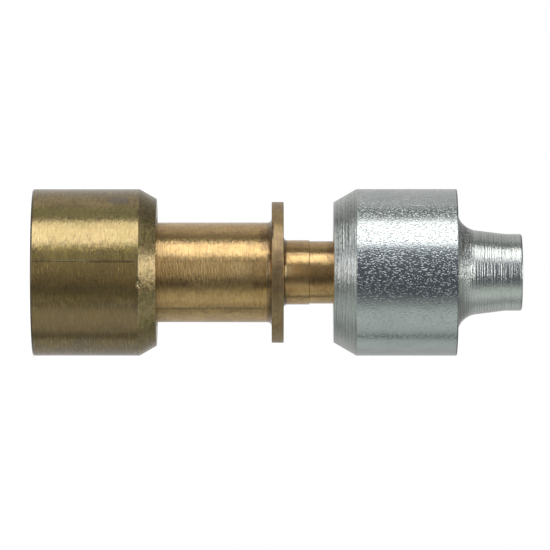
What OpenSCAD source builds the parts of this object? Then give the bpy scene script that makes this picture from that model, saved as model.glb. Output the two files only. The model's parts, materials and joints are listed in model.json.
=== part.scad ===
// Tube reducer for joining two plain metal tubes of different size without solder.
// A turned union takes a tube in each end. A ring waits on each of its stubs and is
// pressed along it to the collar, which squeezes the stub onto the tube inside.
// It stands on the larger tube's end: +Z runs along the tubes, from large to small,
// and the origin is the centre of the brass ring's rear face. Millimetres.

/* [Tubes] */
// Outside diameter of the larger tube
large_tube_d = 6; // [4:0.5:7]
// Outside diameter of the smaller tube
small_tube_d = 3; // [2:0.25:4]
// Play on the diameter between a tube and its socket
tube_play = 0.1; // [0.05:0.01:0.3]

/* [Union] */
// Wall of the stub on the larger tube
large_stub_wall = 0.9; // [0.7:0.05:1.2]
// Wall of the stub on the smaller tube
small_stub_wall = 0.925; // [0.7:0.025:1.1]
// Height in radius of the thicker root of the small stub
small_root_step = 0.075; // [0.05:0.005:0.15]
// Length of that root, from the collar
small_root_len = 2; // [1:0.1:3]
// Length of the slope from the root down to the stub
small_root_slope = 0.2; // [0.1:0.05:0.4]
// How far the collar stands out beyond the large stub in radius
collar_h = 1.625; // [0.8:0.025:2.5]
// Thickness of the collar
collar_w = 0.95; // [0.7:0.05:1.5]
// Rounding of the collar's rim
collar_edge_r = 0.07; // [0.05:0.01:0.15]
// Fillet between the collar and the large stub
large_root_fillet = 0.35; // [0.2:0.05:0.5]
// Fillet between the collar and the small stub
small_root_fillet = 0.3; // [0.2:0.05:0.5]
// Chamfer on the tip of each stub, outside and in the socket's mouth
tip_chamfer = 0.25; // [0.1:0.05:0.3]
// Diameter of the way through between the two sockets
passage_d = 1.9; // [1:0.1:1.9]
// From the collar's face back to where the large socket ends
large_stop_back = 0.6; // [0.3:0.1:1.5]
// From the collar's face back to where the small socket ends
small_stop_back = 1.25; // [0.5:0.05:2.5]
// Angle of the drill point that leaves the cone at a socket's end
drill_point = 118; // [90:1:135]

/* [Rings] */
// Wall of the brass ring round the large stub. Both rings have one diameter, so that
// one tool presses them.
ring_wall = 2.62; // [2:0.02:4]
// Play on the diameter between a stub and the ring on it
ring_play = 0.06; // [0.02:0.01:0.2]
// Angle between a ring's front chamfer and the axis
chamfer_angle = 30; // [20:1:35]
// Room beyond a root fillet that a ring's mouth chamfer leaves
mouth_spare = 0.1; // [0.05:0.05:0.3]

/* [Brass ring] */
// Length of the brass ring
brass_len = 9.8; // [8:0.1:12]
// Length of its front chamfer along the axis
brass_chamfer_len = 1.34; // [0.8:0.02:1.6]
// Rounding of its rear outside corner
brass_corner_r = 0.18; // [0.1:0.02:0.4]
// Depth of the flare that leads the tube into its rear
flare_len = 1.2; // [0.6:0.1:2]
// How far the flare opens in radius
flare_h = 0.35; // [0.2:0.05:0.6]

/* [Steel ring] */
// Length of its thick part, from the front face to the shoulder
steel_len = 9.75; // [8:0.05:12]
// Length of its front chamfer along the axis
steel_chamfer_len = 1.81; // [1:0.01:2]
// Rounding of the shoulder's outside corner and of the nose's end
steel_corner_r = 0.12; // [0.05:0.01:0.25]
// Depth past the small stub's thicker root that its counterbore reaches
counterbore_spare = 0.1; // [0.05:0.05:0.3]
// Length of the slim nose, from the shoulder
nose_len = 5.15; // [4.5:0.05:7]
// Wall of the nose round the small stub
nose_wall = 0.53; // [0.35:0.01:0.9]
// Radius of the hollow fillet from the shoulder into the nose
nose_fillet_r = 1.74; // [1.2:0.02:1.9]
// Length of the nose's taper beyond that fillet
nose_taper_len = 2.31; // [1:0.01:2.6]
// Angle between the taper and the axis
nose_taper = 7.1; // [3:0.1:9]
// Chamfer in the bore at the nose's end
nose_bore_chamfer = 0.15; // [0.1:0.05:0.25]

/* [Places before pressing] */
// Gap between the brass ring and the collar
brass_travel = 9.1; // [6:0.05:11]
// Gap between the steel ring and the collar
steel_travel = 3.95; // [2:0.05:6]
// Length of large stub inside the brass ring
large_hold = 1.7; // [1:0.1:4]
// Length of small stub inside the steel ring
small_hold = 10.5; // [8:0.1:11]

/* [Hidden] */
$fn = 128;
// How far a corner piece reaches into what it joins or cuts
bite = 0.05;

// Radii of the union
large_bore_r = (large_tube_d + tube_play) / 2;
small_bore_r = (small_tube_d + tube_play) / 2;
large_stub_r = large_bore_r + large_stub_wall;
small_stub_r = small_bore_r + small_stub_wall;
small_root_r = small_stub_r + small_root_step;
passage_r = passage_d / 2;
collar_r = large_stub_r + collar_h;

// Radii of the rings
brass_bore_r = large_stub_r + ring_play / 2;
ring_r = brass_bore_r + ring_wall;
steel_bore_r = small_stub_r + ring_play / 2;
counterbore_r = small_root_r + ring_play / 2;
nose_r = steel_bore_r + nose_wall;
taper_top_r = nose_r + nose_taper_len * tan(nose_taper);
fillet_start_r = taper_top_r + nose_fillet_r * cos(nose_taper);

// Heights along the axis, from the brass ring's rear face up
large_tip_z = brass_len - large_hold;
collar_z = brass_len + brass_travel;
collar_top_z = collar_z + collar_w;
steel_z = collar_top_z + steel_travel;
shoulder_z = steel_z + steel_len;
nose_end_z = shoulder_z + nose_len;
small_tip_z = steel_z + small_hold;
large_stop_z = collar_z - large_stop_back;
small_stop_z = collar_top_z + small_stop_back;

// Height of the cone that a drill point leaves between two radii
function drill_cone(wide_r, narrow_r) = (wide_r - narrow_r) / tan(drill_point / 2);

// The corner of a square less a quarter circle, at the point where two faces meet.
// side gives the signs of the two directions from that point to the circle's centre.
// Joined on, it fillets an inside corner. Taken off, it rounds an outside one.
module corner_piece(at, r, side) {
    translate(at)
        difference() {
            translate((r - bite) / 2 * side) square(r + bite, center = true);
            translate(r * side) circle(r);
        }
}

// Half section of the brass ring, radius to the right and height up
module brass_section() {
    mouth = large_root_fillet + mouth_spare;
    difference() {
        polygon([
            [brass_bore_r + flare_h, 0],
            [ring_r, 0],
            [ring_r, brass_len - brass_chamfer_len],
            [ring_r - brass_chamfer_len * tan(chamfer_angle), brass_len],
            [brass_bore_r + mouth, brass_len],
            [brass_bore_r, brass_len - mouth],
            [brass_bore_r, flare_len]
        ]);
        corner_piece([ring_r, 0], brass_corner_r, [-1, 1]);
    }
}

// Half section of the union: the tube sockets inside, the stubs and the collar outside
module union_section() {
    difference() {
        polygon([
            [large_bore_r + tip_chamfer, large_tip_z],
            [large_stub_r - tip_chamfer, large_tip_z],
            [large_stub_r, large_tip_z + tip_chamfer],
            [large_stub_r, collar_z],
            [collar_r, collar_z],
            [collar_r, collar_top_z],
            [small_root_r, collar_top_z],
            [small_root_r, collar_top_z + small_root_len],
            [small_stub_r, collar_top_z + small_root_len + small_root_slope],
            [small_stub_r, small_tip_z - tip_chamfer],
            [small_stub_r - tip_chamfer, small_tip_z],
            [small_bore_r + tip_chamfer, small_tip_z],
            [small_bore_r, small_tip_z - tip_chamfer],
            [small_bore_r, small_stop_z],
            [passage_r, small_stop_z - drill_cone(small_bore_r, passage_r)],
            [passage_r, large_stop_z + drill_cone(large_bore_r, passage_r)],
            [large_bore_r, large_stop_z],
            [large_bore_r, large_tip_z + tip_chamfer]
        ]);
        corner_piece([collar_r, collar_z], collar_edge_r, [-1, 1]);
        corner_piece([collar_r, collar_top_z], collar_edge_r, [-1, -1]);
    }
    corner_piece([large_stub_r, collar_z], large_root_fillet, [1, -1]);
    corner_piece([small_root_r, collar_top_z], small_root_fillet, [1, 1]);
}

// Half section of the steel ring: thick part, hollow fillet and slim tapered nose
module steel_section() {
    mouth = small_root_fillet + mouth_spare;
    counterbore_z = steel_z + small_root_len + small_root_slope + counterbore_spare;
    taper_z = shoulder_z + nose_fillet_r * (1 - sin(nose_taper));
    taper_foot_r = taper_top_r + (taper_z - shoulder_z) * tan(nose_taper);
    difference() {
        polygon([
            [counterbore_r + mouth, steel_z],
            [ring_r - steel_chamfer_len * tan(chamfer_angle), steel_z],
            [ring_r, steel_z + steel_chamfer_len],
            [ring_r, shoulder_z],
            [taper_foot_r, shoulder_z],
            [taper_top_r, taper_z],
            [nose_r, taper_z + nose_taper_len],
            [nose_r, nose_end_z],
            [steel_bore_r + nose_bore_chamfer, nose_end_z],
            [steel_bore_r, nose_end_z - nose_bore_chamfer],
            [steel_bore_r, counterbore_z + counterbore_r - steel_bore_r],
            [counterbore_r, counterbore_z],
            [counterbore_r, steel_z + mouth]
        ]);
        corner_piece([ring_r, shoulder_z], steel_corner_r, [-1, -1]);
        corner_piece([nose_r, nose_end_z], steel_corner_r, [-1, -1]);
    }
    // The hollow fillet touches the shoulder and the taper, so its circle meets both
    difference() {
        polygon([
            [taper_foot_r - bite, shoulder_z - bite],
            [fillet_start_r, shoulder_z - bite],
            [fillet_start_r, shoulder_z],
            [taper_top_r, taper_z],
            [taper_top_r - bite, taper_z]
        ]);
        translate([fillet_start_r, shoulder_z + nose_fillet_r]) circle(nose_fillet_r);
    }
}

// Aged brass ring, on the tip of the large stub
module brass_ring() {
    color("#8d7443") rotate_extrude() brass_section();
}

// Brass union: large stub, collar and small stub turned from one bar
module union_body() {
    color("#c9a560") rotate_extrude() union_section();
}

// Zinc-plated steel ring with its slim nose, round the small stub
module steel_ring() {
    color("#a9adb0") rotate_extrude() steel_section();
}

brass_ring();
union_body();
steel_ring();
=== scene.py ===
# %% [markdown]
# # A tube reducer in brass and zinc-plated steel
# The part joins two plain metal tubes of different size. Three turned pieces make it: a brass
# union with a collar, and a ring waiting on each of its stubs, one of aged brass and one of
# zinc-plated steel. It stands on the brass ring, so +Z runs along the tubes. Everything round
# is a lathe surface here, because that is how the real pieces are cut: a profile turned about
# the axis, with the tool marks left on it.

import json
import math

import bpy
import numpy as np
from mathutils import Matrix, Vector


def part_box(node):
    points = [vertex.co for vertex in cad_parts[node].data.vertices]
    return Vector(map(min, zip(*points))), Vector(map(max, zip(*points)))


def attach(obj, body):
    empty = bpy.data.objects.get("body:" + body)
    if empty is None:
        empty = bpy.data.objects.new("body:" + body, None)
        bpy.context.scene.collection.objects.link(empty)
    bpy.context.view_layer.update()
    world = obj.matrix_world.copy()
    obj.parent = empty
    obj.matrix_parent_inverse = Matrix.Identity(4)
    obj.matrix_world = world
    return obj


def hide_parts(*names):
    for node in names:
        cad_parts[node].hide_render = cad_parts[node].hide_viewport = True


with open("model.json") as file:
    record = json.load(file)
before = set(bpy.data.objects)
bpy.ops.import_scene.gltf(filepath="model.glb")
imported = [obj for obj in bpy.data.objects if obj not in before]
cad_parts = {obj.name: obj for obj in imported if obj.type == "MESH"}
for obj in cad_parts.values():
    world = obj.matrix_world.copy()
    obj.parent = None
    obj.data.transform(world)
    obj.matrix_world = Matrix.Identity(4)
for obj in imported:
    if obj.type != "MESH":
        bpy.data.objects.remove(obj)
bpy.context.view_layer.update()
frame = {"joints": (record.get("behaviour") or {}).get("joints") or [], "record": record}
MM = 0.001

# %% [markdown]
# ## Sizes
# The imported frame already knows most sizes: each node's box gives its diameter and its ends,
# the slides give the gaps to the collar, and the mounts give the tube sockets. Only what a box
# can't tell, such as a chamfer or a fillet, is written here, in millimetres as a turner would.

# %% Sizes that the frame gives
_, brass_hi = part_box("brass_ring")
union_lo, union_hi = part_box("union_body")
steel_lo, steel_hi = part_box("steel_ring")
travel = {joint["name"]: joint["range_m"][1] / MM for joint in frame["joints"]}
mounts = {mount["name"]: mount for mount in frame["record"]["mounts"]}

ring_r = brass_hi[0] / MM
brass_front = brass_hi[2] / MM
collar_r = union_hi[0] / MM
large_tip, small_tip = union_lo[2] / MM, union_hi[2] / MM
steel_front, nose_end = steel_lo[2] / MM, steel_hi[2] / MM
collar_low = brass_front + travel["brass_ring_slide"]
collar_high = steel_front - travel["steel_ring_slide"]
shoulder = mounts["shoulder_face"]["pos_m"][2] / MM
large_socket_r = mounts["large_tube_socket"]["dims"]["r_mm"]
small_socket_r = mounts["small_tube_socket"]["dims"]["r_mm"]
print(f"rings {2 * ring_r:.2f} across, collar {2 * collar_r:.2f}, length {nose_end:.2f} mm")

# %% [markdown]
# A box can't see a wall, a clearance or the slope of a chamfer. Those are the turner's own, so
# they stand here as plain numbers, and the finishes and profiles below are worked out from them.
# A size that only one piece needs is written where that piece is made.

# %% Sizes that only the turner knows
LARGE_WALL, SMALL_WALL = 0.9, 0.925
ROOT_STEP = 0.075
PLAY = 0.03
LARGE_STUB_R = large_socket_r + LARGE_WALL
SMALL_STUB_R = small_socket_r + SMALL_WALL
SMALL_ROOT_R = SMALL_STUB_R + ROOT_STEP
CHAMFER_ANGLE = math.radians(30)
BRASS_CHAMFER = 1.34
ring_edge = brass_front - BRASS_CHAMFER
print(f"stubs {2 * LARGE_STUB_R:.2f} and {2 * SMALL_STUB_R:.2f} mm across")

# %% [markdown]
# ## The camera
# The photograph looks at the part from the side, square to its axis, from almost half a metre
# away, with the part lying across the picture. Here the part stands up, so the camera is rolled
# a quarter turn instead: the picture's right is +Z and its top is -X.

# %% Camera
PICTURE = 550
PART_LEFT, PART_RIGHT, AXIS_ROW = 33.1, 521.6, 272.35
CAMERA_DISTANCE = 0.467
SENSOR = 36
pixel = nose_end * MM / (PART_RIGHT - PART_LEFT)
camera_data = bpy.data.cameras.new("camera")
camera_data.sensor_width = SENSOR
camera_data.lens = SENSOR * CAMERA_DISTANCE / (PICTURE * pixel)
camera_data.clip_start, camera_data.clip_end = 0.01, 10
camera = bpy.data.objects.new("camera", camera_data)
middle_height = (PICTURE / 2 - PART_LEFT) * pixel
middle_side = (PICTURE / 2 - AXIS_ROW) * pixel
right, up, back = (0, 0, 1), (-1, 0, 0), (0, -1, 0)
place = Matrix([right, up, back]).transposed().to_4x4()
place.translation = (middle_side, -CAMERA_DISTANCE, middle_height)
camera.matrix_world = place
bpy.context.collection.objects.link(camera)
bpy.context.scene.camera = camera
bpy.context.scene.view_settings.view_transform = "Standard"
print(f"lens {camera_data.lens:.0f} mm, one pixel is {pixel / MM:.4f} mm")

# %% [markdown]
# ## Node helpers
# A material is a small graph. These helpers add a node, set or link its sockets, and return the
# output, so that a finish can be written as nested calls and read from the inside out.


# %% Node helpers
def feed(tree, socket, value):
    """Links value into socket if it is another node's output, else sets it as a constant."""
    if isinstance(value, bpy.types.NodeSocket):
        tree.links.new(value, socket)
    else:
        socket.default_value = value


def node(tree, kind, *values, out=0, **settings):
    """Adds a node, feeds its sockets in order from values, and returns its output out."""
    made = tree.nodes.new(kind)
    for name, value in settings.items():
        setattr(made, name, value)
    for socket, value in zip(made.inputs, values):
        feed(tree, socket, value)
    return made.outputs[out]


def calc(tree, operation, *values):
    """One step of arithmetic on numbers or sockets."""
    return node(tree, "ShaderNodeMath", *values, operation=operation)


def times(tree, first, second):
    """Product of two numbers or sockets."""
    return calc(tree, "MULTIPLY", first, second)


def total(tree, *values):
    """Sum of several numbers or sockets."""
    whole = values[0]
    for value in values[1:]:
        whole = calc(tree, "ADD", whole, value)
    return whole


# %% [markdown]
# A pattern only says how much, from 0 to 1. A ramp turns that into colours, an eased step picks
# the part of it that matters, and a blend lays one colour over another by that amount. Eased
# steps are used instead of hard ones, because stains and wear have no sharp border.


# %% Ramps, steps and blends
def ramp(tree, value, *stops):
    """Colour ramp through stops, each a position from 0 to 1 and a colour (r, g, b)."""
    made = tree.nodes.new("ShaderNodeValToRGB")
    tree.links.new(value, made.inputs[0])
    while len(made.color_ramp.elements) < len(stops):
        made.color_ramp.elements.new(0.5)
    for element, (position, colour) in zip(made.color_ramp.elements, stops):
        element.position = position
        element.color = (*colour, 1)
    return made.outputs[0]


def smooth_step(tree, value, low, high, to_low=0.0, to_high=1.0):
    """Eases from to_low at low to to_high at high, and holds both ends."""
    return node(
        tree, "ShaderNodeMapRange", value, low, high, to_low, to_high, interpolation_type="SMOOTHSTEP"
    )


def blend(tree, amount, first, second):
    """Mixes two colours, first where amount is 0 and second where it is 1."""
    made = tree.nodes.new("ShaderNodeMix")
    made.data_type = "RGBA"
    feed(tree, made.inputs[0], amount)
    for socket, colour in zip(made.inputs[6:8], (first, second)):
        feed(tree, socket, (*colour, 1) if isinstance(colour, tuple) else colour)
    return made.outputs[2]


# %% [markdown]
# ## The studio
# Polished metal shows its surroundings more than its own colour, so the light is built as a
# product photographer builds it round a bright cylinder. One long soft box stands above and in
# front, two smaller ones face the part's ends, white paper lies below and behind, and the room
# on the camera's side is dark. All of it is set out by the angle round the tube axis: 0 degrees
# points at the camera, 90 at the picture's top and 180 straight away from the camera.

# %% Directions round the part
KEY_FROM, KEY_TO = 38, 75.5
KEY_DISTANCE = 0.45
KEY_LENGTH = 0.56
KEY_RADIANCE = 1.95
KEY_SHIFT = -0.02
SIDE_ANGLE, SIDE_ELEVATION = 11, 60
SIDE_DISTANCE, SIDE_ACROSS, SIDE_ALONG = 0.5, 0.26, 0.36
SIDE_RADIANCE = {"side_large_end": 1.2, "side_small_end": 2.3}


def direction(angle, elevation):
    """Unit vector at that angle round the axis and that elevation above the horizon, in degrees."""
    a, e = math.radians(angle), math.radians(elevation)
    return np.array([-math.sin(a) * math.cos(e), -math.cos(a) * math.cos(e), math.sin(e)])


def soft_box(name, angle, elevation, distance, across, along, radiance, shift=0.0):
    """Rectangular lamp facing the part's middle, across wide round the axis and along it long.

    It may be shifted along the axis, which turns it no further.
    """
    lamp = bpy.data.lights.new(name, "AREA")
    lamp.shape = "RECTANGLE"
    lamp.size, lamp.size_y = across, along
    lamp.energy = radiance * math.pi * across * along
    outward = direction(angle, elevation)
    sideways = np.cross((0, 0, 1), outward)
    sideways /= np.linalg.norm(sideways)
    upward = np.cross(outward, sideways)
    obj = bpy.data.objects.new(name, lamp)
    faced = Matrix([sideways, upward, outward]).transposed().to_4x4()
    faced.translation = outward * distance + np.array([0, 0, nose_end * MM / 2 + shift])
    obj.matrix_world = faced
    obj.visible_camera = False
    bpy.context.collection.objects.link(obj)


# %% [markdown]
# The bright band along each piece is the picture of one lamp, so the key is one long box, and
# the two angles between which it stands set the edges of that band. The two smaller boxes face
# the part's ends and reach the shoulders, which the key only grazes.

# %% Soft boxes
key_half = math.radians((KEY_TO - KEY_FROM) / 2)
key_width = 2 * KEY_DISTANCE * math.tan(key_half)
key_angle = (KEY_FROM + KEY_TO) / 2
soft_box("key", key_angle, 0, KEY_DISTANCE, key_width, KEY_LENGTH, KEY_RADIANCE, KEY_SHIFT)
for name, elevation in (("side_large_end", -SIDE_ELEVATION), ("side_small_end", SIDE_ELEVATION)):
    radiance = SIDE_RADIANCE[name]
    soft_box(name, SIDE_ANGLE, elevation, SIDE_DISTANCE, SIDE_ACROSS, SIDE_ALONG, radiance)
print(f"key soft box {key_width:.2f} m wide")

# %% [markdown]
# The world carries the rest: paper below and behind, with thin dark gaps where two sheets meet,
# and the dark side of the room. Rays from the camera see plain white, so the background is
# white whatever the light does, and reflections see the room. Each row is an angle round the
# axis, a brightness, a tint, and what stands there.

# %% The room, sheet by sheet
DARK = (0.86, 0.96, 1.14)
PAPER = (0.95, 1.03, 1.0)
PLAIN = (1.0, 1.0, 1.0)
ROOM = [
    (-180, 0.62, PLAIN, "paper behind"),
    (-163, 0.52, PLAIN, "paper behind"),
    (-146, 0.44, PLAIN, "paper behind"),
    (-122, 0.52, PAPER, "paper behind"),
    (-108, 0.52, PAPER, "paper behind"),
    (-102, 0.12, PAPER, "gap between the sheets"),
    (-99, 0.12, PAPER, "gap between the sheets"),
    (-93, 0.42, PAPER, "paper below"),
    (-74, 0.56, PAPER, "paper below"),
    (-55, 0.52, PAPER, "paper below"),
    (-42, 0.24, PAPER, "near edge of the paper"),
    (-31, 0.095, DARK, "dark room"),
    (-12, 0.09, DARK, "dark room"),
    (10, 0.125, DARK, "dark room"),
    (36, 0.24, DARK, "dark room"),
    (78, 0.24, PAPER, "gap above the soft box"),
    (99, 0.21, PAPER, "gap above the soft box"),
    (103, 0.50, PLAIN, "paper behind"),
    (150, 0.60, PLAIN, "paper behind"),
    (180, 0.62, PLAIN, "paper behind"),
]
print(f"room of {len(ROOM)} directions")

# %% [markdown]
# The angle round the axis is the arc tangent of the two sideways parts of a ray's direction, and
# a colour ramp looks the room up by it. The paper behind ends a little way out along the axis,
# so it is dimmed there. Only reflections see all this: the camera sees white, and matt surfaces
# get an even grey from all sides, as a room full of pale paper would give.

# %% World
PAPER_OFFSET = 0.08
PAPER_REACH = (0.15, 0.60)
BEHIND = (0.05, 0.3)
PAST_THE_PAPER = 0.5
WHITE, EVEN_GREY, BLACK = (1.0, 1.0, 1.0), (0.5, 0.5, 0.5), (0.0, 0.0, 0.0)
world = bpy.data.worlds.new("studio")
bpy.context.scene.world = world
world.use_nodes = True
sky = world.node_tree
sky.nodes.clear()
ray = sky.nodes.new("ShaderNodeLightPath").outputs
towards = node(sky, "ShaderNodeSeparateXYZ", node(sky, "ShaderNodeTexCoord")).node.outputs
turned = calc(sky, "ARCTAN2", times(sky, towards[0], -1.0), times(sky, towards[1], -1.0))
share = calc(sky, "ADD", calc(sky, "DIVIDE", turned, 2 * math.pi), 0.5)
stops = [((angle + 180) / 360, tuple(grey * part for part in tint)) for angle, grey, tint, _ in ROOM]
behind = smooth_step(sky, towards[1], *BEHIND)
along = calc(sky, "ABSOLUTE", calc(sky, "ADD", towards[2], PAPER_OFFSET))
far_out = smooth_step(sky, along, *PAPER_REACH)
dimmed = times(sky, times(sky, behind, far_out), 1 - PAST_THE_PAPER)
room = blend(sky, dimmed, ramp(sky, share, *stops), BLACK)
reflected = calc(sky, "MAXIMUM", ray["Is Glossy Ray"], ray["Is Transmission Ray"])
soft = blend(sky, reflected, EVEN_GREY, room)
seen = blend(sky, ray["Is Camera Ray"], soft, WHITE)
output = sky.nodes.new("ShaderNodeOutputWorld")
sky.links.new(node(sky, "ShaderNodeBackground", seen, 1.0), output.inputs[0])
print(f"world with {len(sky.nodes)} nodes")

# %% [markdown]
# ## The floor
# A plain pale floor lies under the part. It is diffuse, so it catches the part's soft shadow,
# and it glows for rays from the camera, which lifts its lit parts to the white of the
# background. Reflections pass it by and see the paper of the studio, which goes on below it.

# %% Floor
FLOOR_RADIUS = 2.0
FLOOR_CORNERS = 48
FLOOR_GLOW = 0.6
FLOOR_SHADE = (0.85, 0.85, 0.85, 1)
floor_mesh = bpy.data.meshes.new("floor")
rim = np.radians(np.arange(0, 360, 360 / FLOOR_CORNERS))
rim_points = np.c_[FLOOR_RADIUS * np.cos(rim), FLOOR_RADIUS * np.sin(rim), np.zeros(len(rim))]
floor_mesh.from_pydata(rim_points.tolist(), [], [list(range(len(rim)))])
floor = bpy.data.objects.new("floor", floor_mesh)
bpy.context.collection.objects.link(floor)
floor.visible_glossy = False
floor.visible_shadow = False
paper = bpy.data.materials.new("pale_floor")
paper.use_nodes = True
tree = paper.node_tree
tree.nodes.clear()
seen_by = tree.nodes.new("ShaderNodeLightPath").outputs
strength = times(tree, seen_by["Is Camera Ray"], FLOOR_GLOW)
glow = node(tree, "ShaderNodeEmission", (1, 1, 1, 1), strength)
matt = node(tree, "ShaderNodeBsdfDiffuse", FLOOR_SHADE)
both = node(tree, "ShaderNodeAddShader", glow, matt)
tree.links.new(both, tree.nodes.new("ShaderNodeOutputMaterial").inputs[0])
floor_mesh.materials.append(paper)
print(f"floor {2 * FLOOR_RADIUS:.0f} m across")

# %% [markdown]
# ## A surface turned on a lathe
# The tool follows a profile in the plane of radius and height, and the spindle carries it round.
# Real edges are never quite sharp, so every corner of the profile is an arc, however small, and
# the long faces are cut into short steps that tool marks can move in and out.


# %% Profile with rounded corners
ARC_STEP = 20


def unit(vectors):
    """Vectors scaled to length 1."""
    return vectors / np.linalg.norm(vectors, axis=-1, keepdims=True)


def rounded_profile(corners):
    """Closed line through corners (radius, height, rounding, step), in millimetres.

    At each corner the arc touches both sides: with h half the angle between them, it starts
    rounding / tan(h) back along each side, about a centre rounding / sin(h) along the bisector.
    The arc, and the side that follows it, are cut into equal steps no longer than step, and an
    arc turns at most ARC_STEP degrees in one.
    """
    points = np.array([c[:2] for c in corners], float)
    to_last = unit(np.roll(points, 1, axis=0) - points)
    to_next = unit(np.roll(points, -1, axis=0) - points)
    half = np.arccos(np.clip((to_last * to_next).sum(axis=1), -1, 1)) / 2
    rounding = np.array([c[2] for c in corners])[:, None]
    starts = points + to_last * rounding / np.tan(half)[:, None]
    ends = points + to_next * rounding / np.tan(half)[:, None]
    centres = points + unit(to_last + to_next) * rounding / np.sin(half)[:, None]
    line = []
    for i, corner in enumerate(corners):
        first, last = starts[i] - centres[i], ends[i] - centres[i]
        sweep = math.atan2(first[0] * last[1] - first[1] * last[0], first @ last)
        pieces = math.ceil(abs(sweep) * max(corner[2] / corner[3], 180 / (math.pi * ARC_STEP)))
        a = np.linspace(0, sweep, pieces + 1)
        cross = np.array([-first[1], first[0]])
        line.append(centres[i] + np.cos(a)[:, None] * first + np.sin(a)[:, None] * cross)
        side = starts[(i + 1) % len(corners)] - ends[i]
        count = max(1, math.ceil(np.linalg.norm(side) / corner[3]))
        line.append(ends[i] + np.linspace(0, 1, count + 1)[1:-1, None] * side)
    return np.concatenate(line)


# %% [markdown]
# The spindle's turn is a second parameter, so the piece is a grid: one row for each point of the
# profile and one column for each step round. Blender's Screw modifier sweeps a profile too, but
# a grid lets tool marks move each point before the faces are made, and it closes on itself.

# %% Surface of revolution
AROUND = 300


def turn(name, profile, materials, relief=None, finish=None):
    """Mesh object swept by a closed profile (millimetres) once round the Z axis.

    Point (p, s) lies at angle a = 2 pi s / AROUND: (r cos a, r sin a, z), where (r, z) is
    profile point p moved along the profile's outward normal by relief(r, z, a) millimetres.
    finish(r, z) picks one of the materials for the faces between a profile point and the next.
    """
    a = np.linspace(0, 2 * np.pi, AROUND, endpoint=False)[None, :]
    r, z = profile[:, :1], profile[:, 1:]
    ahead = unit(np.roll(profile, -1, axis=0) - np.roll(profile, 1, axis=0))
    lift = relief(r, z, a) if relief else np.zeros((len(profile), AROUND))
    r = r + ahead[:, 1:] * lift
    z = z - ahead[:, :1] * lift
    grid = np.stack([r * np.cos(a), r * np.sin(a), z + 0 * a], axis=-1) * MM
    p, s = np.meshgrid(np.arange(len(profile)), np.arange(AROUND), indexing="ij")
    p_next, s_next = (p + 1) % len(profile), (s + 1) % AROUND
    quads = np.stack(
        [p * AROUND + s, p * AROUND + s_next, p_next * AROUND + s_next, p_next * AROUND + s], axis=-1
    ).reshape(-1, 4)
    mesh = bpy.data.meshes.new(name)
    mesh.vertices.add(grid.size // 3)
    mesh.vertices.foreach_set("co", grid.astype(np.float32).ravel())
    mesh.loops.add(quads.size)
    mesh.loops.foreach_set("vertex_index", quads.astype(np.int32).ravel())
    mesh.polygons.add(len(quads))
    mesh.polygons.foreach_set("loop_start", np.arange(0, quads.size, 4, dtype=np.int32))
    mesh.polygons.foreach_set("use_smooth", np.ones(len(quads), dtype=bool))
    if finish:
        middle = (profile + np.roll(profile, -1, axis=0)) / 2
        picked = np.repeat(finish(middle[:, 0], middle[:, 1]), AROUND)
        mesh.polygons.foreach_set("material_index", picked.astype(np.int32))
    mesh.update(calc_edges=True)
    for material in materials:
        mesh.materials.append(material)
    obj = bpy.data.objects.new(name, mesh)
    bpy.context.collection.objects.link(obj)
    corner = grid.reshape(-1, 3)[quads] / MM
    volume = np.einsum("ij,ij->i", corner[:, 0], np.cross(corner[:, 1], corner[:, 2])).sum()
    volume += np.einsum("ij,ij->i", corner[:, 0], np.cross(corner[:, 2], corner[:, 3])).sum()
    print(f"{name}: {2 * len(quads)} triangles, {volume / 6:.1f} cubic mm")
    return obj


# %% [markdown]
# ## Finishes
# Turned metal is streaked round its axis, because the tool leaves a groove finer than the eye
# can part. Noise stretched round the axis and squeezed along it gives those streaks, and it has
# no seam because it is read in space and not on the surface.


# %% Patterns in space
def place_of(tree):
    """Where a point of the piece is, in millimetres: its vector, x, y, z and radius."""
    there = node(tree, "ShaderNodeTexCoord", out=3)
    scaled = node(tree, "ShaderNodeVectorMath", there, (1 / MM, 1 / MM, 1 / MM), operation="MULTIPLY")
    x, y, z = node(tree, "ShaderNodeSeparateXYZ", scaled).node.outputs
    radius = calc(tree, "SQRT", total(tree, times(tree, x, x), times(tree, y, y)))
    return {"vector": scaled, "x": x, "y": y, "z": z, "r": radius}


def noise(tree, at, across, along, detail=2.0, roughness=0.5, seed=0.0):
    """Noise whose grains are about across mm wide in X and Y and along mm in Z, from 0 to 1."""
    squeeze = (1 / across, 1 / across, 1 / along)
    grains = node(tree, "ShaderNodeVectorMath", at["vector"], squeeze, operation="MULTIPLY")
    made = tree.nodes.new("ShaderNodeTexNoise")
    made.noise_dimensions = "4D"
    tree.links.new(grains, made.inputs["Vector"])
    made.inputs["W"].default_value = seed
    made.inputs["Scale"].default_value = 1
    made.inputs["Detail"].default_value = detail
    made.inputs["Roughness"].default_value = roughness
    return made.outputs[0]


def within(tree, value, low, high, soft):
    """1 where value lies between low and high, 0 outside, eased over soft at both ends."""
    above = smooth_step(tree, value, low - soft, low + soft)
    below = smooth_step(tree, value, high - soft, high + soft, 1.0, 0.0)
    return times(tree, above, below)


# %% [markdown]
# All five finishes are metal, so they share one builder, and each one only paints its colour,
# roughness and fine relief. A pattern too fine to model goes in as a bump, which tilts the light
# and leaves the outline alone. Brushed metal also gets a tangent that runs round the axis.


# %% Metal
def bumped(tree, height):
    """Normal of the surface raised by height millimetres."""
    made = tree.nodes.new("ShaderNodeBump")
    made.inputs["Distance"].default_value = MM
    feed(tree, made.inputs["Height"], height)
    return made.outputs[0]


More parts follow.
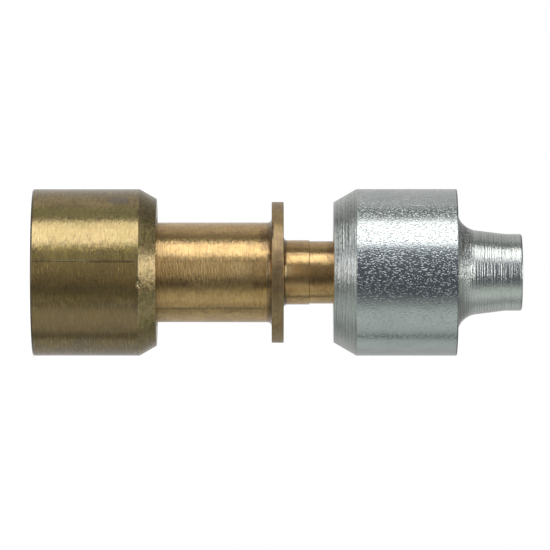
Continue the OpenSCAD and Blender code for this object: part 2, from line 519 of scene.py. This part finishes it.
def metal(name, paint, **uniform):
    """Metal material: uniform sets sockets to constants, paint(tree, at) returns the others."""
    made = bpy.data.materials.new(name)
    made.use_nodes = True
    tree = made.node_tree
    tree.nodes.clear()
    shader = tree.nodes.new("ShaderNodeBsdfPrincipled")
    for socket, value in {"Metallic": 1.0, **uniform}.items():
        shader.inputs[socket].default_value = value
    for socket, value in paint(tree, place_of(tree)).items():
        feed(tree, shader.inputs[socket], value)
    if "Anisotropic" in uniform:
        round_axis = node(tree, "ShaderNodeTangent", direction_type="RADIAL", axis="Z")
        feed(tree, shader.inputs["Tangent"], round_axis)
    tree.links.new(shader.outputs[0], tree.nodes.new("ShaderNodeOutputMaterial").inputs[0])
    return made


# %% [markdown]
# Handling leaves marks that no noise gives: a scratch along the ring, a rubbed patch, a pit. Painted
# light and shade go in the same way. They are listed by where they lie, in millimetres, as ranges
# of X and of Z on the front of a piece.


# %% Marks
def marked(tree, at, colour, marks):
    """Colour with marks (x low, x high, z low, z high, softness, strength, colour) laid over it."""
    grain = smooth_step(tree, noise(tree, at, 0.5, 0.12, 2.0, 0.6, 11.0), 0.3, 0.6, 0.35, 1.0)
    front = smooth_step(tree, at["y"], -0.5, 0.5, 1.0, 0.0)
    shown = times(tree, grain, front)
    for x_low, x_high, z_low, z_high, soft, strength, tint in marks:
        in_x = within(tree, at["x"], x_low, x_high, soft)
        in_z = within(tree, at["z"], z_low, z_high, max(soft, 0.04))
        where = times(tree, times(tree, in_x, in_z), shown)
        colour = blend(tree, times(tree, where, strength), colour, tint)
    return colour


# %% [markdown]
# Each row is one mark, laid over the rows before it. Its tint was corrected after comparing how
# bright that place is in the photograph and in the render. The ring has its long scratch, with a
# bright burr beside it, and the union has dull and dark patches. Many rows are painted light and
# shade instead: bands of painted sheen and painted shade along the ring and the stubs, painted
# highlights in the fillets and on the knock, painted shade in a fillet and on the rim, and a
# painted reflection of a dark line along each stub.

# %% Places of the marks
RING_MARKS = [
    # Painted sheen: lighter bands along the ring near the top of the picture and just below the
    # highlight.
    (-5.0, -4.35, 0.2, 8.3, 0.2, 1.0, (0.66, 0.52, 0.21)),
    (-2.0, -0.95, 0.2, 8.3, 0.25, 0.6, (0.72, 0.51, 0.14)),
    # Darker along the ring towards the bottom of the picture.
    (2.6, 5.2, 0.2, 8.34, 0.7, 0.7, (0.33, 0.22, 0.105)),
    # Painted shade: a darker band along the upper edge of the highlight.
    (-4.0, -3.4, 0.2, 8.3, 0.15, 0.5, (0.34, 0.25, 0.10)),
    # Below the scratch the ring's own tone changes, and it is laid lighter there as painted light where
    # the ring faces the camera.
    (-0.86, 1.1, 0.2, 8.34, 0.08, 0.8, (0.61, 0.40, 0.13)),
    (1.1, 2.3, 0.2, 8.34, 0.4, 0.7, (0.64, 0.42, 0.14)),
    (0.4, 1.7, 0.2, 8.34, 0.4, 0.3, (0.80, 0.52, 0.17)),
    # The long scratch and the bright burr beside it, a light line round the ring and a grey patch.
    (-0.90, -0.82, 0.2, 3.6, 0.02, 0.6, (0.13, 0.09, 0.04)),
    (-0.90, -0.76, 4.6, 8.2, 0.03, 0.7, (0.15, 0.10, 0.045)),
    (-0.97, -0.91, 1.9, 4.3, 0.02, 0.7, (0.80, 0.68, 0.42)),
    (-1.6, -0.1, 4.24, 4.30, 0.02, 0.5, (0.80, 0.68, 0.42)),
    (-5.9, -5.4, 6.2, 7.6, 0.2, 0.6, (0.22, 0.19, 0.20)),
    # Painted highlight: a bright glint on the edge of the knock.
    (0.7, 1.15, ring_edge - 0.06, ring_edge + 0.08, 0.04, 1.0, (1.0, 0.9, 0.6)),
]
UNION_MARKS = [
    # Darker and ruddier along both stubs towards the bottom of the picture.
    (1.2, 2.6, 10.2, 18.2, 0.3, 0.3, (0.48, 0.24, 0.075)),
    (0.7, 1.6, 19.9, 23.7, 0.15, 0.6, (0.46, 0.22, 0.07)),
    # Painted shade: darker bands along the upper and the lower edge of the highlight on the stubs.
    (-2.5, -2.2, 10.2, 18.2, 0.06, 0.4, (0.34, 0.21, 0.10)),
    (-1.62, -1.32, 19.9, 23.7, 0.05, 0.6, (0.34, 0.21, 0.10)),
    (-1.25, -0.75, 10.2, 18.2, 0.12, 0.35, (0.40, 0.25, 0.09)),
    # Painted light: a lighter patch on the front of the large stub beside the collar.
    (-0.7, 0.6, 15.8, 18.3, 0.3, 0.5, (1.0, 0.72, 0.33)),
    # Dark and dull patches.
    (0.65, 1.2, 9.6, 12.4, 0.25, 0.5, (0.20, 0.12, 0.05)),
    (0.7, 1.3, 17.4, 18.6, 0.25, 0.6, (0.20, 0.12, 0.05)),
    (2.5, 3.2, 14.6, 18.4, 0.2, 0.15, (0.28, 0.17, 0.09)),
    # Painted reflection: a thin dark line along the large stub, the picture of the gap between two sheets
    # of paper.
    (2.76, 2.92, 9.6, 18.6, 0.06, 0.6, (0.26, 0.16, 0.08)),
    # Painted shade in the fillet beside the collar, towards the top of the picture.
    (-3.4, -1.7, 18.0, 18.7, 0.15, 0.7, (0.20, 0.12, 0.06)),
    # Painted highlights in the fillets on both sides of the collar.
    (-0.8, 0.5, collar_low - 0.42, collar_low - 0.24, 0.08, 0.7, (0.9, 0.68, 0.34)),
    (-0.5, 0.5, collar_high + 0.08, collar_high + 0.2, 0.06, 0.7, (0.9, 0.68, 0.34)),
    # A dark spot, and darker on top of the small stub next to the steel ring.
    (-1.3, -1.1, 23.3, 23.5, 0.04, 0.9, (0.10, 0.06, 0.03)),
    (-2.5, -0.8, 23.3, 23.9, 0.15, 0.6, (0.34, 0.19, 0.08)),
    # Painted light: lighter patches on the front of the small stub beside the collar.
    (-0.5, 1.2, 19.95, 21.9, 0.3, 0.6, (1.0, 0.72, 0.34)),
    (-0.5, 0.3, 19.95, 20.6, 0.2, 0.9, (1.0, 0.82, 0.45)),
    # A dull patch.
    (-2.6, -1.9, 20.6, 23.5, 0.2, 0.2, (0.28, 0.17, 0.09)),
    # Painted reflection of the same gap between the sheets, on the small stub.
    (1.88, 1.97, 19.9, 23.6, 0.04, 0.5, (0.26, 0.16, 0.08)),
    # A dark patch.
    (0.4, 1.1, 22.0, 23.6, 0.2, 0.5, (0.30, 0.18, 0.09)),
]
# Painted shade: a dark line along the rounded edge of the rim next to the large stub, towards the top of
# the picture.
RIM_MARKS = [(-3.9, -2.6, collar_low, collar_low + 0.15, 0.04, 1.0, (0.08, 0.05, 0.025))]
print(f"{len(RING_MARKS) + len(UNION_MARKS) + len(RIM_MARKS)} marks")

# %% [markdown]
# Grooves round the axis smear a highlight across themselves, which the shader calls anisotropic,
# and a quarter turn lays the smear that way. Tarnish is a thin clear skin over the brass, so it
# is a coat. These values are the same all over a piece, so they are set on the shader itself.

# %% Shader settings
BRUSHED = {"Anisotropic": 1.0, "Anisotropic Rotation": 0.25, "Coat Weight": 0.6, "Coat Roughness": 0.2}
TARNISHED = {"Anisotropic": 0.85, "Anisotropic Rotation": 0.25, "Coat Weight": 0.5, "Coat Roughness": 0.2}
AS_DRAWN = {"Roughness": 0.49, "Coat Weight": 0.5, "Coat Roughness": 0.3}
PLATED = {"Roughness": 0.19}
PLATED_TURNED = {"Anisotropic": 0.5, "Anisotropic Rotation": 0.25, "Roughness": 0.24}
print(f"roughness of the zinc {PLATED['Roughness']} rolled and {PLATED_TURNED['Roughness']} turned")

# %% [markdown]
# The first ring has lain in the air for long. Its brass went olive and brown in layers: clouds of
# tarnish, freckles, fine combing by the tool, and brighter metal where hands or other parts
# rubbed it. One flat colour would look like paint, so each layer is laid over the last by a
# pattern of its own size.

# %% Aged brass
OLIVE = (0.405, 0.315, 0.125)
HONEY = (0.475, 0.345, 0.155)
KHAKI = (0.34, 0.25, 0.085)
BROWN = (0.30, 0.20, 0.068)
UMBER = (0.21, 0.15, 0.085)
FRECKLE = (0.19, 0.125, 0.055)
COMBED = (0.62, 0.49, 0.25)
SCORED = (0.68, 0.56, 0.30)
MOTTLE_AND_SHADE = (0.18, 0.135, 0.055)
WORN = (0.78, 0.66, 0.36)
PAINTED_EDGE_SHADE = (0.13, 0.11, 0.10)


def aged_brass(tree, at):
    """Brass gone olive and brown in the air, darker in patches along the picture's top and bottom."""
    combed = noise(tree, at, 1.0, 0.13, 2.0, 0.6, 6.0)
    scores = noise(tree, at, 1.4, 0.06, 1.0, 0.5, 9.0)
    clouds = noise(tree, at, 0.9, 1.9, 5.0, 0.65, 3.0)
    bloom = noise(tree, at, 1.8, 3.0, 4.0, 0.6, 7.0)
    specks = noise(tree, at, 0.45, 0.16, 3.0, 0.6, 4.0)
    patches = noise(tree, at, 1.6, 2.2, 4.0, 0.6, 14.0)
    mottle = noise(tree, at, 0.3, 0.45, 4.0, 0.65, 8.0)
    pits = noise(tree, at, 0.16, 0.12, 2.0, 0.5)
    chamfer = smooth_step(tree, at["z"], ring_edge - 0.02, ring_edge + 0.02)
    uneven = times(tree, clouds, 3.0)
    # Darker in patches towards the top and the bottom of the picture: below and above pick those sides.
    below = smooth_step(tree, total(tree, at["x"], uneven), 2.6, 4.4)
    above = smooth_step(tree, calc(tree, "SUBTRACT", uneven, at["x"]), 6.2, 7.8, 0.0, 0.8)
    toned_top_and_bottom = times(tree, total(tree, below, above), calc(tree, "SUBTRACT", 1.0, chamfer))
    hue = blend(tree, smooth_step(tree, patches, 0.35, 0.6), OLIVE, HONEY)
    clean = blend(tree, smooth_step(tree, clouds, 0.35, 0.7, 0.0, 0.4), hue, KHAKI)
    dull = blend(tree, smooth_step(tree, bloom, 0.35, 0.7), BROWN, UMBER)
    mixed = blend(tree, toned_top_and_bottom, clean, dull)
    freckled = blend(tree, smooth_step(tree, specks, 0.46, 0.68, 0.0, 0.5), mixed, FRECKLE)
    lighter = blend(tree, smooth_step(tree, combed, 0.5, 0.7, 0.0, 0.4), freckled, COMBED)
    scored = blend(tree, smooth_step(tree, scores, 0.6, 0.75, 0.0, 0.5), lighter, SCORED)
    # Painted shade: the chamfer is darker towards the top of the picture, and it carries random mottle as
    # well.
    shaded = smooth_step(tree, at["x"], -2.6, -1.2, 0.5, 0.0)
    spots_and_shade = total(tree, shaded, smooth_step(tree, mottle, 0.45, 0.65, 0.0, 0.5))
    cut = times(tree, chamfer, spots_and_shade)
    mottled_and_shaded = blend(tree, cut, scored, MOTTLE_AND_SHADE)
    rubbed = smooth_step(tree, clouds, 0.45, 0.65, 0.0, 0.6)
    edge = times(tree, within(tree, at["z"], ring_edge - 0.03, ring_edge + 0.05, 0.03), rubbed)
    worn = blend(tree, edge, mottled_and_shaded, WORN)
    # Painted shade: a dark line round the outer edge of the foot, which stands for the dark that the
    # rounded rear edge shows.
    foot = smooth_step(tree, at["z"], 0.05, 0.2, 0.95, 0.0)
    back_edge_shade = times(tree, foot, smooth_step(tree, at["r"], ring_r - 0.35, ring_r - 0.1))
    lift = total(
        tree,
        times(tree, combed, 0.045),
        times(tree, pits, 0.005),
        times(tree, clouds, 0.007),
        times(tree, times(tree, mottle, chamfer), 0.04),
    )
    return {
        "Base Color": marked(tree, at, blend(tree, back_edge_shade, worn, PAINTED_EDGE_SHADE), RING_MARKS),
        "Roughness": smooth_step(tree, bloom, 0.3, 0.7, 0.25, 0.32),
        "Normal": bumped(tree, lift),
    }


# %% [markdown]
# The union is younger metal. It keeps its gold on the open faces. The inner corners beside the
# collar are darker, partly from grime and partly as painted shade, and a painted shadow lies on
# the stub at the ring's mouth. Ruddy blotches lie along each stub towards the top and the bottom
# of the picture.

# %% Bright brass
FRESH = (0.92, 0.62, 0.25)
HANDLED = (0.71, 0.465, 0.195)
COMB_LINE = (0.46, 0.28, 0.10)
DOT = (0.30, 0.175, 0.08)
TAN = (0.36, 0.21, 0.09)
RUDDY = (0.54, 0.27, 0.14)
GRIME_AND_SHADE = (0.21, 0.125, 0.055)


def bright_brass(tree, at):
    """Brass fresh from the lathe, combed round by the tool, with grime and painted shade in its inner
    corners.
    """
    combed = noise(tree, at, 0.7, 0.11, 2.0, 0.65, 2.0)
    streaks = noise(tree, at, 9.0, 0.07, 2.0, 0.7)
    clouds = noise(tree, at, 0.9, 1.6, 5.0, 0.65)
    patchiness = noise(tree, at, 0.35, 0.22, 4.0, 0.7, 12.0)
    on_small = smooth_step(tree, at["z"], collar_low, collar_high)
    stub = smooth_step(tree, on_small, 0, 1, LARGE_STUB_R, SMALL_ROOT_R)
    outward = smooth_step(tree, calc(tree, "SUBTRACT", at["r"], stub), 0.2, 0.7, 1.0, 0.0)
    hollow = within(tree, at["z"], collar_low - 0.36, collar_high + 0.28, 0.1)
    corner = times(tree, hollow, outward)
    dots = noise(tree, at, 0.25, 0.2, 3.0, 0.6, 15.0)
    mouth = within(tree, at["z"], brass_front, brass_front + 0.1, 0.12)
    clean = blend(tree, smooth_step(tree, clouds, 0.3, 0.7), FRESH, HANDLED)
    comb = times(tree, combed, smooth_step(tree, on_small, 0, 1, 1.0, 0.5))
    lined = blend(tree, smooth_step(tree, comb, 0.45, 0.7, 0.0, 0.5), clean, COMB_LINE)
    dotted = blend(tree, smooth_step(tree, dots, 0.58, 0.75, 0.0, 0.7), lined, DOT)
    spread = noise(tree, at, 0.6, 0.5, 4.0, 0.65, 18.0)
    stain = times(tree, smooth_step(tree, spread, 0.5, 0.68), on_small)
    browned = blend(tree, times(tree, stain, 0.6), dotted, TAN)
    # Ruddy blotches along each stub towards the top and the bottom of the picture.
    away = calc(tree, "ABSOLUTE", calc(tree, "DIVIDE", at["x"], at["r"]))
    blotches = smooth_step(tree, noise(tree, at, 0.3, 0.8, 4.0, 0.65, 19.0), 0.47, 0.65, 0.0, 0.45)
    ruddy = times(tree, blotches, smooth_step(tree, away, 0.45, 0.75))
    toned_top_and_bottom = blend(tree, ruddy, browned, RUDDY)
    # Painted shade in the inner corners beside the collar, over some grime, and a painted shadow on the
    # stub at the ring's mouth.
    grime_and_shade_amount = total(
        tree,
        times(tree, corner, smooth_step(tree, patchiness, 0.35, 0.65, 0.55, 1.0)),
        times(tree, mouth, smooth_step(tree, patchiness, 0.35, 0.65, 0.15, 0.8)),
    )
    grimed_and_shaded = blend(tree, grime_and_shade_amount, toned_top_and_bottom, GRIME_AND_SHADE)
    lift = total(
        tree,
        times(tree, comb, 0.055),
        times(tree, streaks, 0.02),
        times(tree, clouds, 0.02),
    )
    polish = smooth_step(tree, clouds, 0.3, 0.7, 0.31, 0.35)
    return {
        "Base Color": marked(tree, at, grimed_and_shaded, UNION_MARKS),
        "Roughness": calc(tree, "SUBTRACT", polish, times(tree, corner, 0.13)),
        "Normal": bumped(tree, lift),
    }


# %% [markdown]
# The collar is as wide as the bar it was cut from, so its rim was never turned. It keeps the
# duller skin that drawing the bar through a die leaves, with streaks but no grooves.

# %% Drawn brass
DRAWN = (0.50, 0.35, 0.16)
DRAWN_DULL = (0.37, 0.245, 0.125)
DRAWN_STREAK = (0.24, 0.17, 0.085)


def drawn_brass(tree, at):
    """The outside of the drawn bar, duller than the turned brass and without its grooves."""
    clouds = noise(tree, at, 0.7, 0.7, 5.0, 0.65)
    pits = noise(tree, at, 0.2, 0.2, 3.0, 0.6, 3.0)
    drawn = noise(tree, at, 1.6, 0.1, 2.0, 0.6, 16.0)
    colour = blend(tree, smooth_step(tree, clouds, 0.35, 0.65), DRAWN, DRAWN_DULL)
    lift = total(tree, times(tree, clouds, 0.03), times(tree, pits, 0.03))
    streaked = blend(tree, smooth_step(tree, drawn, 0.4, 0.7, 0.0, 0.5), colour, DRAWN_STREAK)
    return {
        "Base Color": marked(tree, at, streaked, RIM_MARKS),
        "Normal": bumped(tree, lift),
    }


# %% [markdown]
# The second ring is steel with a few thousandths of a millimetre of zinc on it. Its outside is
# the rolled skin of the bar, which the plating turned into a field of small pimples, each with a
# glint of its own. They are far too many to model, so they are a bump.

# %% Zinc colour
ZINC_EDGE = (0.10, 0.10, 0.11)


def zinc_colour(tree, at, bright, dull):
    """Clear-passivated zinc, from bright to dull in clouds and dark where two faces meet."""
    clouds = noise(tree, at, 1.2, 1.8, 4.0, 0.6)
    colour = blend(tree, smooth_step(tree, clouds, 0.3, 0.7), bright, dull)
    edge = within(tree, at["z"], shoulder - 0.1, shoulder - 0.02, 0.02)
    lip = within(tree, at["z"], nose_end - 0.13, nose_end - 0.08, 0.02)
    return blend(tree, times(tree, total(tree, edge, lip), 0.7), colour, ZINC_EDGE)


# %% [markdown]
# The pimples are two noises of about a tenth of a millimetre. Only the tops of the coarse one
# stand up, so the field between them stays smooth, and they are lower towards the bottom of the
# picture, where the skin of the bar is calmer.

# %% Rolled zinc plate
ROLLED_BRIGHT = (0.65, 0.68, 0.67)
ROLLED_DULL = (0.58, 0.615, 0.605)


def zinc_plate(tree, at):
    """Zinc over the rolled skin of the bar: a smooth field of small bright pimples."""
    coarse = smooth_step(tree, noise(tree, at, 0.095, 0.19, 1.0, 0.5), 0.52, 0.72)
    fine = noise(tree, at, 0.07, 0.09, 1.0, 0.5, 5.0)
    side = calc(tree, "DIVIDE", at["x"], at["r"])
    pimples = total(tree, times(tree, coarse, 0.0165), times(tree, fine, 0.006))
    lift = times(tree, pimples, smooth_step(tree, side, 0.25, 0.45, 1.0, 0.55))
    colour = zinc_colour(tree, at, ROLLED_BRIGHT, ROLLED_DULL)
    return {"Base Color": colour, "Normal": bumped(tree, lift)}


# %% [markdown]
# On the chamfer and the nose the same plate lies over turned grooves. They are darkened as painted
# shade, more so towards the top of the picture, and the tool has torn the steel a little where it
# entered the hollow fillet. The torn spots get painted shade as well, and the lower side of the
# nose is painted lighter, as painted light.

# %% Turned zinc plate
TURNED_BRIGHT = (0.66, 0.68, 0.65)
TURNED_DULL = (0.595, 0.615, 0.585)
ZINC_PAINTED_LIGHTER = (0.78, 0.80, 0.76)
ZINC_PAINTED_DARK = (0.14, 0.15, 0.15)


def turned_zinc_plate(tree, at):
    """Zinc over turned grooves, with painted shade in them and a painted lighter lower side on the nose.
    """
    lines = noise(tree, at, 24.0, 0.075, 2.0, 0.7)
    fine = noise(tree, at, 0.25, 0.09, 2.0, 0.6, 5.0)
    torn_spots = smooth_step(tree, noise(tree, at, 0.28, 0.14, 2.0, 0.6, 17.0), 0.4, 0.62)
    side = calc(tree, "DIVIDE", at["x"], at["r"])
    on_nose = smooth_step(tree, at["z"], shoulder, shoulder + 1.0)
    # Painted shade in the grooves, heavier towards the top of the picture; depth is the strength of that
    # painted shade.
    nose_shade_strength = smooth_step(tree, side, -0.25, 0.1, 0.85, 0.3)
    ring_shade_strength = smooth_step(tree, side, -0.6, 0.45, 0.95, 0.3)
    depth = times(tree, ring_shade_strength, smooth_step(tree, on_nose, 0, 1, 1.0, nose_shade_strength))
    grooves = smooth_step(tree, total(tree, lines, times(tree, fine, 0.5)), 0.76, 0.95)
    groove_shade = times(tree, grooves, depth)
    in_fillet = within(tree, at["z"], shoulder + 0.1, shoulder + 1.1, 0.3)
    torn = times(tree, times(tree, torn_spots, in_fillet), smooth_step(tree, side, 0.0, 0.35, 1.0, 0.1))
    lift = total(
        tree,
        times(tree, lines, smooth_step(tree, on_nose, 0, 1, 0.042, 0.03)),
        times(tree, fine, 0.028),
        times(tree, torn, 0.02),
    )
    # Painted shade on the torn spots, darker towards the top of the picture.
    burr = times(tree, torn, smooth_step(tree, side, -0.9, -0.2, 0.95, 0.5))
    dark = calc(tree, "MAXIMUM", groove_shade, burr)
    ring_zinc = zinc_colour(tree, at, TURNED_BRIGHT, TURNED_DULL)
    # Painted light: the nose is lighter towards the bottom of the picture.
    nose_painted_lighter = times(tree, on_nose, smooth_step(tree, side, -0.3, 0.1, 0.0, 0.65))
    nose_zinc = blend(tree, nose_painted_lighter, ring_zinc, ZINC_PAINTED_LIGHTER)
    return {
        "Base Color": blend(tree, dark, nose_zinc, ZINC_PAINTED_DARK),
        "Normal": bumped(tree, lift),
    }


# %% [markdown]
# ## The brass ring
# This ring waits on the larger stub until a hand tool presses it up to the collar. Its front has
# a long chamfer, and its rear opens in a flare that leads the tube in. A profile row is radius,
# height, rounding and step, going round from the flare. The nick in the edge of the chamfer is
# a knock from handling, and moves the metal itself.

# %% Brass ring
BRASS_MOUTH = 0.45
FLARE_HEIGHT, FLARE_LENGTH = 0.35, 1.2
large_bore = LARGE_STUB_R + PLAY
brass_face_r = ring_r - BRASS_CHAMFER * math.tan(CHAMFER_ANGLE)
brass_profile = rounded_profile([
    (large_bore + FLARE_HEIGHT, 0, 0.03, 0.3),
    (ring_r, 0, 0.18, 0.1),
    (ring_r, ring_edge, 0.03, 0.06),
    (brass_face_r, brass_front, 0.05, 0.2),
    (large_bore + BRASS_MOUTH, brass_front, 0.03, 0.1),
    (large_bore, brass_front - BRASS_MOUTH, 0.03, 0.5),
    (large_bore, FLARE_LENGTH, 0.03, 0.3),
])
NICK_ANGLE = math.radians(278)
NICK_DEPTH, NICK_ALONG, NICK_ROUND = 0.08, 0.1, 0.22


def nick(r, z, a):
    """One knock in the outer edge, its depth times exp(-distance squared).

    The distance is counted in widths of the nick, along the axis and round the ring.
    """
    along = (z - ring_edge) / NICK_ALONG
    round_it = ring_r * (a - NICK_ANGLE) / NICK_ROUND
    outside = r > large_bore + 1
    return np.where(outside, -NICK_DEPTH * np.exp(-(along**2) - round_it**2), 0)


brass_finish = metal("aged_brass", aged_brass, **TARNISHED)
brass_ring = turn("brass_ring_turned", brass_profile, [brass_finish], nick)
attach(brass_ring, "brass_ring")
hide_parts("brass_ring")

# %% [markdown]
# ## The union
# The body of the fitting is turned from one bar, with a socket drilled in from each end, a stop
# where the drill's cone ends, and a thin passage between the two. Its profile goes once round
# the section, first up the outside and then back through the bores, so the holes are part of
# the shape and nothing has to be cut from it.

# %% Union
TIP_CHAMFER = 0.25
PASSAGE_R = 0.95
DRILL_HALF_ANGLE = math.radians(59)
ROOT_LENGTH, ROOT_SLOPE = 2.0, 0.2
STEP_GROOVE, STEP_WIDTH = 0.08, 0.06
LARGE_STOP_BACK, SMALL_STOP_BACK = 0.6, 1.25
LARGE_STOP = collar_low - LARGE_STOP_BACK
SMALL_STOP = collar_high + SMALL_STOP_BACK
SMALL_ROOT_END = collar_high + ROOT_LENGTH
SMALL_ROOT_FOOT = SMALL_ROOT_END + ROOT_SLOPE
RIM_DEPTH = 0.04


def drill_cone(wide, narrow):
    """Height of a drill point's cone: the radii's difference over the tangent of half its angle."""
    return (wide - narrow) / math.tan(DRILL_HALF_ANGLE)


union_profile = rounded_profile([
    (large_socket_r + TIP_CHAMFER, large_tip, 0.02, 0.1),
    (LARGE_STUB_R - TIP_CHAMFER, large_tip, 0.02, 0.1),
    (LARGE_STUB_R, large_tip + TIP_CHAMFER, 0.02, 0.5),
    (LARGE_STUB_R, collar_low, 0.35, 0.07),
    (collar_r, collar_low, 0.07, 0.3),
    (collar_r, collar_high, 0.07, 0.3),
    (SMALL_ROOT_R, collar_high, 0.3, 0.07),
    (SMALL_ROOT_R, SMALL_ROOT_END, 0.01, 0.05),
    (SMALL_ROOT_R - STEP_GROOVE, SMALL_ROOT_END + STEP_WIDTH, 0.01, 0.05),
    (SMALL_STUB_R, SMALL_ROOT_FOOT, 0.05, 0.5),
    (SMALL_STUB_R, small_tip - TIP_CHAMFER, 0.02, 0.1),
    (SMALL_STUB_R - TIP_CHAMFER, small_tip, 0.02, 0.1),
    (small_socket_r + TIP_CHAMFER, small_tip, 0.02, 0.1),
    (small_socket_r, small_tip - TIP_CHAMFER, 0.02, 0.6),
    (small_socket_r, SMALL_STOP, 0.02, 0.2),
    (PASSAGE_R, SMALL_STOP - drill_cone(small_socket_r, PASSAGE_R), 0.02, 0.4),
    (PASSAGE_R, LARGE_STOP + drill_cone(large_socket_r, PASSAGE_R), 0.02, 0.3),
    (large_socket_r, LARGE_STOP, 0.02, 0.6),
    (large_socket_r, large_tip + TIP_CHAMFER, 0.02, 0.1),
])


def union_finish(r, z):
    """1 for the rim of the collar, which is the outside of the bar, and 0 for turned faces."""
    return (r > collar_r - RIM_DEPTH) & (z > collar_low) & (z < collar_high)


turned_brass = metal("bright_brass", bright_brass, **BRUSHED)
rim_brass = metal("drawn_brass", drawn_brass, **AS_DRAWN)
union = turn("union_turned", union_profile, [turned_brass, rim_brass], finish=union_finish)
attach(union, "union")
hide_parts("union_body")

# %% [markdown]
# ## The steel ring
# This ring waits on the smaller stub. Behind its square shoulder a hollow fillet runs tangent
# into a slim tapered nose, the hardest shape to turn here. The fillet is one corner of the
# profile with a large rounding, which touches the shoulder and the taper by itself.

# %% Profile of the steel ring
STEEL_CHAMFER = 1.81
STEEL_MOUTH = 0.4
COUNTERBORE_SPARE = 0.1
NOSE_WALL = 0.53
NOSE_R = SMALL_STUB_R + PLAY + NOSE_WALL
NOSE_FILLET = 1.74
NOSE_TAPER = math.radians(7.1)
NOSE_TAPER_LENGTH = 2.31
NOSE_CHAMFER = 0.15
small_bore = SMALL_STUB_R + PLAY
root_bore = SMALL_ROOT_R + PLAY
counterbore_end = steel_front + (SMALL_ROOT_FOOT - collar_high) + COUNTERBORE_SPARE
steel_face_r = ring_r - STEEL_CHAMFER * math.tan(CHAMFER_ANGLE)
taper_top_r = NOSE_R + NOSE_TAPER_LENGTH * math.tan(NOSE_TAPER)
taper_start = shoulder + NOSE_FILLET * (1 - math.sin(NOSE_TAPER))
taper_foot_r = taper_top_r + (taper_start - shoulder) * math.tan(NOSE_TAPER)
steel_profile = rounded_profile([
    (root_bore + STEEL_MOUTH, steel_front, 0.03, 0.5),
    (steel_face_r, steel_front, 0.05, 0.035),
    (ring_r, steel_front + STEEL_CHAMFER, 0.05, 0.5),
    (ring_r, shoulder, 0.06, 0.5),
    (taper_foot_r, shoulder, NOSE_FILLET, 0.04),
    (NOSE_R, taper_start + NOSE_TAPER_LENGTH, 0.4, 0.04),
    (NOSE_R, nose_end, 0.17, 0.05),
    (small_bore + NOSE_CHAMFER, nose_end, 0.03, 0.1),
    (small_bore, nose_end - NOSE_CHAMFER, 0.03, 0.6),
    (small_bore, counterbore_end + root_bore - small_bore, 0.02, 0.1),
    (root_bore, counterbore_end, 0.02, 0.5),
    (root_bore, steel_front + STEEL_MOUTH, 0.03, 0.1),
])
print(f"nose {2 * NOSE_R:.2f} mm across, {len(steel_profile)} points in the profile")

# %% [markdown]
# It is cut with a coarse feed, so its grooves are modelled: each one catches a small highlight of
# its own, which a flat face with a pattern on it would not. The chamfer shows two feeds laid
# over each other and the nose three, and where they drift apart the surface looks uneven.

# %% Scallops
CHAMFER_FEEDS = ((0.245, 0.014), (0.158, 0.006))
NOSE_FEEDS = ((0.305, 0.016), (0.213, 0.016), (0.172, 0.016))


def scallops(z, a, feeds):
    """Grooves that a round-nosed tool leaves, summed over feeds of (pitch, depth).

    Across one pitch the height rises as the square of the distance from the groove's middle:
    depth times (4 d squared - 1/3), with d from -1/2 to 1/2, which is 0 on average, so that the
    piece keeps its size. The crests wander a little round it, as the work and the tool give way.
    """
    wander = 0.07 * np.sin(3 * a + 5 * z) + 0.05 * np.sin(7 * a - 11 * z)
    from_middle = [(z / pitch + wander) % 1.0 - 0.5 for pitch, _ in feeds]
    return sum(depth * (4 * d**2 - 1 / 3) for d, (_, depth) in zip(from_middle, feeds))


def steel_relief(r, z, a):
    """Scallops on the chamfer and on the nose, and none within a margin of their edges."""
    on_chamfer = (r > steel_face_r + 0.05) & (z < steel_front + STEEL_CHAMFER - 0.06)
    on_nose = (r > NOSE_R - 0.02) & (z > shoulder + 0.12) & (z < nose_end - 0.1)
    chamfer_lines = scallops(z, a, CHAMFER_FEEDS)
    nose_lines = scallops(z - r, a, NOSE_FEEDS)
    return np.where(on_chamfer, chamfer_lines, 0) + np.where(on_nose, nose_lines, 0)


# %% [markdown]
# Profile, grooves and finishes come together here. The faces on the outside of the bar keep the
# rolled finish, and a face belongs to them by where it lies, so the border follows the edges of
# the profile.

# %% Steel ring
SKIN_DEPTH = 0.04


def steel_finish(r, z):
    """1 for the rolled outside of the bar, which no tool has touched, and 0 for turned faces."""
    return (r > ring_r - SKIN_DEPTH) & (z > steel_front + STEEL_CHAMFER) & (z < shoulder)


turned_zinc = metal("zinc_plate_turned", turned_zinc_plate, **PLATED_TURNED)
rolled_zinc = metal("zinc_plate", zinc_plate, **PLATED)
steel_ring = turn(
    "steel_ring_turned", steel_profile, [turned_zinc, rolled_zinc], steel_relief, steel_finish
)
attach(steel_ring, "steel_ring")
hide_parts("steel_ring")
